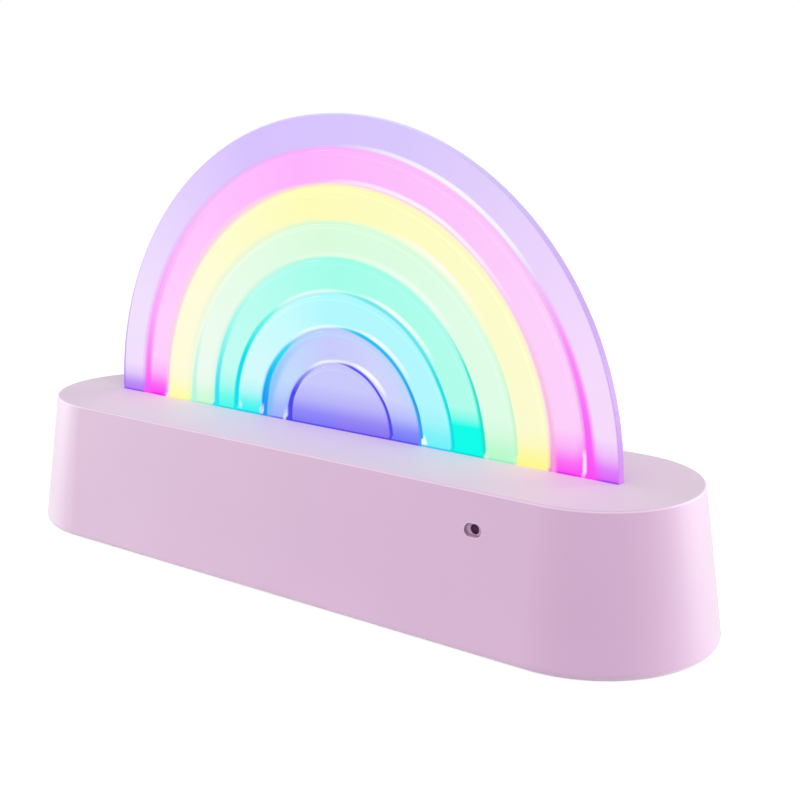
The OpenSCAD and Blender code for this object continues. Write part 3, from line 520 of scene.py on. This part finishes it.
# ABS, moulded in a finely spark-eroded mould and sprayed with a soft-touch lacquer: a satin skin that turns
# pale where it is seen at a low angle. Its grit of 0.1 mm is drawn at 0.6 mm so that it shows
# Its top edge gets a painted highlight and its eye's recess painted light and shade
soft_touch_shell = moulded_plastic("soft_touch_ABS_shell", "#DAB0D5", "#D7ADD2", sheen=1.0, shell=True)
dress(soft_touch_shell, "base_shell")
# The same ABS without lacquer: a shade deeper, and duller where fingers and tables rub it
moulded_plate = moulded_plastic("moulded_ABS_plate", "#D2B0CC", "#CFACC8", roughness=0.5)
dress(moulded_plate, "bottom_plate", "battery_door")
moulded_knob = moulded_plastic("moulded_ABS_knob", "#CBA6C4", "#C7A1BF", roughness=0.4)
dress(moulded_knob, "switch_knob")
# White ABS, moulded matt, so that the light cells throw all their light up into the panel
white_holder = moulded_plastic("moulded_white_ABS_holder", "#F4F4F2", "#EFEFEC", roughness=0.55)
dress(white_holder, "light_holder")
# Silicone rubber, moulded: dead matt and near black, with a fine drag of dust
moulded_rubber = moulded_plastic(
    "moulded_rubber_feet", "#3B3B3F", "#434347", grit=0.5, roughness=0.75, ior=1.45
)
dress(moulded_rubber, "rubber_feet")


def cast_resin(name, colour, shade):
    """Epoxy, cast: smooth and glossy, with a faint cloud of its tint."""
    made, tree = material(name)
    place = add(tree, "TexCoord", out="Object")
    cloud = add(tree, "TexNoise", {"Vector": place, "Scale": 1 / (0.8 * MM), "Detail": 2.0})
    skin = add(tree, "ValToRGB", {0: cloud}, stops=tones(colour, shade))
    shader = {"Base Color": skin, "Roughness": 0.2, "IOR": 1.55, "Specular IOR Level": 0.2}
    add(tree, "OutputMaterial", {"Surface": add(tree, "BsdfPrincipled", shader)})
    return made


# Epoxy, cast over the receiver: nearly black plum, with a soft glint
cast_epoxy_eye = cast_resin("cast_epoxy_eye", "#461746", "#4E194C")
dress(cast_epoxy_eye, "sensor_eye")

STRAND = 1.27 * MM  # from one strand of a ribbon cable to the next
WAVE_REPEAT = 0.314  # a wave texture repeats at 2 pi / 20 over its scale


def grained(name, colour, shade, size, roughness, metallic=0.0, stretch=(1, 1, 1), ior=1.5, ribs=False):
    """A small part's finish: two close tones in grain of the given size in mm, which also roughens it. A
    ribbon cable has a rib over each strand."""
    made, tree = material(name)
    place = add(tree, "TexCoord", out="Object")
    along = add(tree, "Mapping", {"Vector": place, "Scale": stretch})
    grain = add(tree, "TexNoise", {"Vector": along, "Scale": 1 / (size * MM), "Detail": 3.0})
    rough = {0: grain, 1: NOISE_LOW, 2: NOISE_HIGH, 3: roughness - 0.05, 4: roughness + 0.05}
    relief = {"Strength": 0.05, "Distance": 0.05 * MM, "Height": grain}
    if ribs:
        strands = add(tree, "TexWave", {"Vector": place, "Scale": WAVE_REPEAT / STRAND}, out="Fac")
        relief = {"Strength": 0.8, "Distance": 0.3 * MM, "Height": strands}
    shader = {
        "Base Color": add(tree, "ValToRGB", {0: grain}, stops=tones(colour, shade)),
        "Roughness": add(tree, "MapRange", rough),
        "Normal": add(tree, "Bump", relief),
        "Metallic": metallic,
    }
    if not metallic:
        shader["IOR"] = ior
    add(tree, "OutputMaterial", {"Surface": add(tree, "BsdfPrincipled", shader)})
    return made


# Shapes made from rows of loops

AROUND = 36  # corners in each loop
SHARP = math.radians(35)  # faces that meet at more than this keep a sharp edge


def ring(radius, level, start):
    """Corners round a circle, from a starting angle in degrees."""
    turns = [math.radians(start + 360 * i / AROUND) for i in range(AROUND)]
    return [(radius * math.cos(turn), radius * math.sin(turn), level) for turn in turns]


def outline(corners, level):
    """Corners along a straight-sided outline, the same number on each side."""
    count = AROUND // len(corners)
    loop = []
    for (x, y), (next_x, next_y) in zip(corners, corners[1:] + corners[:1]):
        steps = [i / count for i in range(count)]
        loop += [(x + (next_x - x) * step, y + (next_y - y) * step, level) for step in steps]
    return loop


def cross(reach, half):
    """The outline of a cross recess, from the tip of its first arm."""
    arm = [(reach, half), (half, half), (half, reach)]
    return arm + [(-y, x) for x, y in arm] + [(-x, -y) for x, y in arm] + [(y, -x) for x, y in arm]


def rounded(half_x, half_z, radius, level):
    """Corners round a rectangle with rounded corners."""
    count = AROUND // 4
    loop = []
    for x, z, start in [(1, 1, 0), (-1, 1, 90), (-1, -1, 180), (1, -1, 270)]:
        for i in range(count):
            turn = math.radians(start + 90 * i / (count - 1))
            beyond_x, beyond_z = radius * math.cos(turn), radius * math.sin(turn)
            loop.append((x * (half_x - radius) + beyond_x, z * (half_z - radius) + beyond_z, level))
    return loop


def skin_loops(mesh, loops, place, inner=0):
    """Covers a row of loops with faces and closes both ends. The last inner faces take the second finish."""
    rows = [[mesh.verts.new(place(corner)) for corner in loop] for loop in loops]
    for row, (low, high) in enumerate(zip(rows, rows[1:])):
        for i in range(AROUND):
            face = mesh.faces.new((low[i - 1], low[i], high[i], high[i - 1]))
            face.material_index = int(row >= len(loops) - 1 - inner and inner > 0)
    mesh.faces.new(rows[0])
    mesh.faces.new(rows[-1]).material_index = int(inner > 0)


def finish_piece(name, mesh, body, slot, node, *finishes):
    """Turns a mesh into a piece that rides on a body and stands for a CAD node."""
    bmesh.ops.recalc_face_normals(mesh, faces=mesh.faces[:])
    for face in mesh.faces:
        face.smooth = True
    data = bpy.data.meshes.new(name)
    mesh.to_mesh(data)
    mesh.free()
    data.set_sharp_from_angle(angle=SHARP)
    for finish in finishes:
        data.materials.append(finish)
    piece = bpy.data.objects.new(name, data)
    bpy.context.scene.collection.objects.link(piece)
    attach(piece, body)
    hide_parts(node)


# Switch knob, in millimetres

RIB = 0.5  # that each rib stands proud
CAP = 1.7  # from the front of the cap to its back
STEM_CORNER = 0.15
STEM_BACK = 0.01  # corners this close to the CAD knob's back are the end of its stem
RIBS_ACROSS = 3.6  # ribs that would fill the knob's width
# From the cap's back to its front: how far each loop lies inside its sides, its corner and its depth
CAP_LOOPS = [
    (0.1, 0.6, CAP), (0.0, 0.7, CAP - 0.1), (0.08, 0.65, 0.5), (0.16, 0.6, 0.22), (0.34, 0.45, 0.06),
    (0.55, 0.3, 0.0),
]
# From a rib's foot to its crest: half its width, how far it ends inside its ends, its corner and its height
RIB_LOOPS = [
    (0.36, 0.0, 0.3, -0.2), (0.36, 0.0, 0.3, 0.1), (0.31, 0.05, 0.27, 0.3), (0.2, 0.16, 0.17, 0.44),
    (0.08, 0.28, 0.07, RIB),
]


def ribbed_knob():
    """The switch knob: a cap with drafted, rounded sides, three half-round finger ribs, and its stem."""
    low, high = (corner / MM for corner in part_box("switch_knob"))
    middle = (low + high) / 2
    places = [vertex.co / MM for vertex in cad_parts["switch_knob"].data.vertices]
    stem = [place - middle for place in places if place.y < low.y + STEM_BACK]
    stem_x, stem_z = max(place.x for place in stem), max(place.z for place in stem)
    half_x, half_z = high.x - middle.x, high.z - middle.z
    front = high.y - RIB

    def centred(corner):
        return Vector((middle.x + corner[0], corner[2], middle.z + corner[1])) * MM

    loops = [rounded(stem_x, stem_z, STEM_CORNER, level) for level in (low.y, front - CAP)]
    for inside, corner, depth in CAP_LOOPS:
        loops.append(rounded(half_x - inside, half_z - inside, corner, front - depth))
    mesh = bmesh.new()
    skin_loops(mesh, loops, centred)

    loops = []
    for half, inside, corner, height in RIB_LOOPS:
        loops.append(rounded(half, half_z - RIB - inside, corner, front + height))
    for side in (-1, 0, 1):
        shift = side * 2 * half_x / RIBS_ACROSS
        skin_loops(mesh, [[(x + shift, z, y) for x, z, y in loop] for loop in loops], centred)
    finish_piece("ribbed_switch_knob", mesh, "knob", "knob", "switch_knob", moulded_knob)


ribbed_knob()

# Screws

SCREWS_APART = 7.0  # corners less than these millimetres apart are on one screw
# The axis that each set of screws is driven along, as x 0, y 1 and z 2, and its thread's pitch in millimetres
SCREWS = {
    "housing_screws": (2, 1.2),
    "holder_screws": (2, 0.8),
    "led_board_screws": (2, 0.8),
    "control_board_screws": (2, 0.8),
    "switch_screws": (1, 0.8),
}
# A screw's head, in shares of its radius and its height. From the floor of the recess to its rim: the reach
# and half the width of an arm, and its depth. Then from there to the head's underside: radius and depth
RECESS_LOOPS = [(0.3, 0.1, 0.7), (0.52, 0.13, 0.04), (0.54, 0.14, 0.0)]
HEAD_LOOPS = [(0.68, 0.0), (0.86, 0.1), (0.96, 0.32), (1.0, 0.62), (1.0, 1.0)]
BESIDE_ARM = 14  # degrees from the middle of an arm to its corner
STEPS_A_TURN = 8
TIP = 0.4  # the tip's radius, as a share of the shank's
THREAD_ROOT = 0.78  # the radius between crests, as a share of the shank's
CREST_HALF = 0.28  # half the width of a crest, as a share of the pitch


def separate_screws(node, across, along):
    """The corners of each screw in a node, as places across it and levels along it in millimetres."""
    screws = []
    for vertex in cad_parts[node].data.vertices:
        spot = Vector([vertex.co[axis] for axis in across]) / MM
        for screw in screws:
            if (screw[0][0] - spot).length < SCREWS_APART:
                break
        else:
            screw = []
            screws.append(screw)
        screw.append((spot, round(vertex.co[along] / MM, 2)))
    return screws


def thread_loops(shank, height, length, pitch):
    """Loops down a threaded shank that narrows at its tip."""
    loops = []
    steps = round(STEPS_A_TURN * length / pitch)
    for i in range(1, steps + 1):
        level = height + length * i / steps
        point = min(1.0, TIP + (height + length - level) / pitch)
        loop = []
        for j, (x, y, _) in enumerate(ring(1.0, level, BESIDE_ARM)):
            past = (j / AROUND - level / pitch) % 1.0
            crest = max(0.0, 1.0 - abs(past - 0.5) / CREST_HALF)
            radius = shank * point * (THREAD_ROOT + (1 - THREAD_ROOT) * crest)
            loop.append((x * radius, y * radius, level))
        loops.append(loop)
    return loops


def cross_head_screws(node, along, pitch, finish):
    """Pan-head screws in the places of a CAD node's plain ones, with a cross recess and a rolled thread."""
    across = [axis for axis in range(3) if axis != along]
    mesh = bmesh.new()
    for screw in separate_screws(node, across, along):
        sides = [[spot[i] for spot, _ in screw] for i in (0, 1)]
        middle = [(min(side) + max(side)) / 2 for side in sides]
        levels = sorted({level for _, level in screw})
        away = [((spot - Vector(middle)).length, level) for spot, level in screw]
        wide = {at: max(length for length, level in away if level == at) for at in levels}
        if wide[levels[0]] < wide[levels[-1]]:
            levels.reverse()
        top, under, tip = levels[0], levels[1], levels[-1]
        down = 1 if tip > top else -1
        head, shank, height, length = wide[top], wide[tip], abs(under - top), abs(tip - under)

        def place(corner):
            point = [0, 0, 0]
            for axis, centre, off in zip(across, middle, corner):
                point[axis] = centre + off
            point[along] = top + down * corner[2]
            return Vector(point) * MM

        loops = [outline(cross(arm * head, half * head), deep * height) for arm, half, deep in RECESS_LOOPS]
        loops += [ring(share * head, deep * height, BESIDE_ARM) for share, deep in HEAD_LOOPS]
        loops.append(ring(shank, height, BESIDE_ARM))
        skin_loops(mesh, loops + thread_loops(shank, height, length, pitch), place)
    finish_piece("cross_head_" + node, mesh, "lamp", "steel", node, finish)


# Steel screws, cold headed, thread rolled and zinc plated: a bright, slightly blue grey with faint spangle
zinc_plated_steel = grained("zinc_plated_steel_screws", "#B4B8BD", "#C8CBCE", 0.5, 0.3, metallic=1.0)
for node, (along, pitch) in SCREWS.items():
    dress(zinc_plated_steel, node)
    cross_head_screws(node, along, pitch, zinc_plated_steel)
# Spring steel, stamped, bent and nickel plated: warm, bright and drawn along its length
nickel_plated_steel = grained("nickel_plated_spring_steel", "#C4C0B2", "#D2CFC2", 0.5, 0.22, metallic=1.0)
dress(nickel_plated_steel, "contact_plates", "contact_springs")
# Steel sheet, stamped and tin plated: soft grey with lines of the rolling
tin_plated_steel = grained(
    "tin_plated_steel_can", "#C9CCD0", "#BCC0C5", 0.4, 0.35, metallic=1.0, stretch=(0.15, 1, 1)
)
dress(tin_plated_steel, "switch_body")


# Boards, packages and wires


def solder_mask():
    """Glass fibre board, etched and sprayed with solder mask: half-glossy green, mottled by the weave, with
    copper tracks that show paler through it."""
    made, tree = material("solder_mask_on_glass_fibre")
    place = add(tree, "TexCoord", out="Object")
    weave = add(tree, "TexNoise", {"Vector": place, "Scale": 1 / (0.7 * MM), "Detail": 3.0})
    skin = add(tree, "ValToRGB", {0: weave}, stops=tones("#2E7A4B", "#286C42"))
    cells = add(tree, "Mapping", {"Vector": place, "Scale": (0.25, 1, 1)})
    squares = {"distance": "CHEBYCHEV", "feature": "F2"}
    routes = add(tree, "TexVoronoi", {"Vector": cells, "Scale": 1 / (2.5 * MM)}, out="Distance", **squares)
    track = add(tree, "ValToRGB", {0: routes}, stops=[(0.4, 0.0), (0.44, 1.0), (0.54, 1.0), (0.58, 0.0)])
    shader = {
        "Base Color": add(tree, "Mix", {"Factor": track, 6: skin, 7: "#3F8F5C"}, **COLOURS),
        "Roughness": 0.35,
        "IOR": 1.5,
        "Normal": add(tree, "Bump", {"Strength": 0.3, "Distance": 0.04 * MM, "Height": track}),
    }
    add(tree, "OutputMaterial", {"Surface": add(tree, "BsdfPrincipled", shader)})
    return made


dress(solder_mask(), "led_board", "control_board", "sensor_board")
# Epoxy, transfer moulded round the chips: charcoal, with the mould's fine matt grain
moulded_epoxy = grained("moulded_epoxy_packages", "#2B2B2E", "#343438", 0.4, 0.5, ior=1.55)
dress(moulded_epoxy, "board_parts")
# Ceramic, pressed and fired round each LED: chalky white
fired_ceramic = grained("fired_ceramic_LED_packages", "#F4F2EA", "#ECEAE0", 0.5, 0.45)
dress(fired_ceramic, "leds")
# Silicone with phosphor, cast in each package: a soft yellow window
cast_phosphor = grained("cast_silicone_phosphor", "#F2DE7C", "#EFD566", 0.5, 0.25, ior=1.42)

PACKAGE_EDGE = 0.15  # mm of bevel under a package's top
PACKAGE_TOP = 0.95  # the top's width, as a share of the package's
FROM_CORNER = 45  # degrees from the middle of a package's side to its corner
# From the window's rim inwards: radius as a share of half the package, and mm under its top
WINDOW_LOOPS = [(0.8, 0.0), (0.74, 0.4), (0.5, 0.22), (0.2, 0.15)]


def led_packages():
    """A square package for each LED, with a round window filled to a low crown."""
    low, high = (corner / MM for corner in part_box("leds"))
    sides = sorted({round(vertex.co.x / MM, 2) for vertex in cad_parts["leds"].data.vertices})
    mesh = bmesh.new()
    for left, right in zip(sides[::2], sides[1::2]):
        middle = Vector(((left + right) / 2, (low.y + high.y) / 2, low.z))
        half, top = (right - left) / 2, high.z - low.z
        square = [(half, half), (-half, half), (-half, -half), (half, -half)]
        bevelled = [(x * PACKAGE_TOP, y * PACKAGE_TOP) for x, y in square]
        loops = [outline(square, 0.0), outline(square, top - PACKAGE_EDGE), outline(bevelled, top)]
        loops += [ring(share * half, top - deep, FROM_CORNER) for share, deep in WINDOW_LOOPS]
        skin_loops(mesh, loops, lambda corner: (middle + Vector(corner)) * MM, inner=2)
    finish_piece("led_packages", mesh, "lamp", "led", "leds", fired_ceramic, cast_phosphor)


led_packages()
# PVC, extruded round copper strands: smooth and a little waxy
pvc_ribbon = grained(
    "extruded_PVC_ribbon", "#E8E4DA", "#DDD8CC", 0.8, 0.45, ior=1.53, stretch=(1, 1, 0.2), ribs=True
)
dress(pvc_ribbon, "led_cable", "sensor_cable")
pvc_red = grained("extruded_PVC_red_wire", "#C23B3B", "#B53434", 0.8, 0.4, ior=1.53)
dress(pvc_red, "battery_wires")
pvc_dark = grained("extruded_PVC_dark_wire", "#3A3A40", "#44444A", 0.8, 0.4, ior=1.53)
dress(pvc_dark, "switch_wires")

# The three cells lie along the base and the middle one is turned round
cells_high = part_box("battery_cells")[1]
CELL_EDGE = cells_high.y - 14.4 * MM  # halfway between the middle cell and an outer one
CAP_START = cells_high.x - 2.2 * MM  # the sleeve ends here at a cell's cap
BASE_START = 21.2 * MM  # and this far from the lamp's middle at its base
PALE_BAND = 8 * MM  # the sleeve's printed band at the cap


def sleeved_cell():
    """PET film, printed and shrunk over a steel cell: glossy blue, drawn in at the ends, where bright steel
    shows."""
    made, tree = material("shrunk_PET_sleeve_on_steel")
    place = add(tree, "TexCoord", out="Object")
    axes = add(tree, "SeparateXYZ", {0: place}).node.outputs
    aside = add(tree, "Math", {0: axes["Y"]}, operation="ABSOLUTE")
    outer = add(tree, "Math", {0: aside, 1: CELL_EDGE}, operation="GREATER_THAN")
    turned = add(tree, "MapRange", {0: outer, 3: -1.0, 4: 1.0})
    along = add(tree, "Math", {0: axes["X"], 1: turned}, operation="MULTIPLY")
    cap = add(tree, "Math", {0: along, 1: CAP_START}, operation="GREATER_THAN")
    foot = add(tree, "Math", {0: along, 1: -BASE_START}, operation="LESS_THAN")
    bare = add(tree, "Math", {0: cap, 1: foot}, operation="MAXIMUM")
    grain = add(tree, "TexNoise", {"Vector": place, "Scale": 1 / (1.5 * MM), "Detail": 2.0})
    film = add(tree, "ValToRGB", {0: grain}, stops=tones("#3F6FB5", "#3867AA"))
    pale = add(tree, "Math", {0: along, 1: CAP_START - PALE_BAND}, operation="GREATER_THAN")
    film = add(tree, "Mix", {"Factor": pale, 6: film, 7: "#D9DDE4"}, **COLOURS)
    shader = {
        "Base Color": add(tree, "Mix", {"Factor": bare, 6: film, 7: "#C4C7CA"}, **COLOURS),
        "Roughness": add(tree, "MapRange", {0: grain, 1: NOISE_LOW, 2: NOISE_HIGH, 3: 0.24, 4: 0.32}),
        "Metallic": bare,
    }
    add(tree, "OutputMaterial", {"Surface": add(tree, "BsdfPrincipled", shader)})
    return made


dress(sleeved_cell(), "battery_cells")


# Studio, in metres

FLOOR = 6
floor_mesh = bpy.data.meshes.new("studio_floor")
corners = [(-FLOOR, -FLOOR, 0), (FLOOR, -FLOOR, 0), (FLOOR, FLOOR, 0), (-FLOOR, FLOOR, 0)]
floor_mesh.from_pydata(corners, [], [(0, 1, 2, 3)])
floor = bpy.data.objects.new("studio_floor", floor_mesh)
bpy.context.scene.collection.objects.link(floor)


def background_rays(tree):
    """1 for camera, glossy and transmission rays, 0 for the rays that light the lamp."""
    rays = add(tree, "LightPath")
    seen = add(tree, "Math", {0: rays, 1: rays.node.outputs["Is Glossy Ray"]}, operation="MAXIMUM")
    return add(tree, "Math", {0: seen, 1: rays.node.outputs["Is Transmission Ray"]}, operation="MAXIMUM")


def white_paper():
    """Paper, calendered: plain white with a faint tooth. Where it is seen, most of its white is its own
    light, so that it stays white and keeps the lamp's own shadow."""
    made, tree = material("white_paper_floor")
    seen = background_rays(tree)
    tooth = add(tree, "TexNoise", {"Scale": 400.0, "Detail": 2.0})
    white = add(tree, "ValToRGB", {0: tooth}, stops=tones("#FDFDFD", "#FFFFFF"))
    share = add(tree, "MapRange", {0: seen, 3: 0.2, 4: 0.7})
    plain = add(tree, "Mix", {"Factor": share, 6: white, 7: "#000000"}, **COLOURS)
    matt = add(tree, "BsdfDiffuse", {"Color": plain})
    shine = add(tree, "Math", {0: seen, 1: 0.94}, operation="MULTIPLY")
    bright = add(tree, "Emission", {"Color": "#FFFFFF", "Strength": shine})
    add(tree, "OutputMaterial", {"Surface": add(tree, "AddShader", {0: matt, 1: bright})})
    return made


floor_mesh.materials.append(white_paper())

ROOM_LIGHT = 0.22  # the world's strength on the lamp; behind it, the world is white
world = bpy.data.worlds.new("studio")
bpy.context.scene.world = world
world.use_nodes = True
tree = world.node_tree
tree.nodes.clear()
level = add(tree, "MapRange", {0: background_rays(tree), 3: ROOM_LIGHT, 4: 1.0})
add(tree, "OutputWorld", {"Surface": add(tree, "Background", {"Color": "#FFFFFF", "Strength": level})})

# Each softbox: where it stands, its width and height, and its radiance
SOFTBOXES = {
    "left_softbox": ((-1.11, -0.3, 0.09), (0.42, 0.16), 25.0),
    "right_softbox": ((0.88, 0.74, 0.1), (0.42, 0.18), 24.0),
    "back_softbox": ((0.575, 1.0, 0.12), (0.42, 0.22), 9.6),
    "front_softbox": ((0.82, -0.47, 0.66), (0.7, 0.5), 3.5),
    "overhead_softbox": ((-0.06, -0.45, 1.15), (1.0, 1.0), 2.4),
}
BASE_MIDDLE = Vector((0, 0, 0.03))


def softbox(name, place, size, radiance):
    """A soft lamp that faces the middle of the base."""
    light = bpy.data.lights.new(name, "AREA")
    light.shape = "RECTANGLE"
    light.size, light.size_y = size
    light.energy = radiance * math.pi * size[0] * size[1]
    lamp = bpy.data.objects.new(name, light)
    lamp.location = place
    lamp.rotation_mode = "QUATERNION"
    lamp.rotation_quaternion = (BASE_MIDDLE - Vector(place)).to_track_quat("-Z", "Y")
    lamp.visible_camera = False
    bpy.context.scene.collection.objects.link(lamp)


for name, (place, size, radiance) in SOFTBOXES.items():
    softbox(name, place, size, radiance)

# Camera at the photograph's viewing angle: its turn and height in degrees, lens and sensor in millimetres,
# the place that it looks at and its distance from there
AZIMUTH, ELEVATION = 36.91, 13.31
LENS, SENSOR = 60.305, 36
LOOK_AT = Vector((22.72, 0, 57.66)) * MM
DISTANCE = 405.26 * MM

azimuth, elevation = math.radians(AZIMUTH), math.radians(ELEVATION)
out_x, out_y = math.sin(azimuth) * math.cos(elevation), -math.cos(azimuth) * math.cos(elevation)
back = Vector((out_x, out_y, math.sin(elevation)))
view = bpy.data.cameras.new("product_view")
view.lens = LENS
view.sensor_width = SENSOR
camera = bpy.data.objects.new("product_view", view)
camera.location = LOOK_AT + back * DISTANCE
camera.rotation_mode = "QUATERNION"
camera.rotation_quaternion = (-back).to_track_quat("-Z", "Y")
bpy.context.scene.collection.objects.link(camera)
bpy.context.scene.camera = camera
bpy.context.scene.view_settings.view_transform = "Standard"
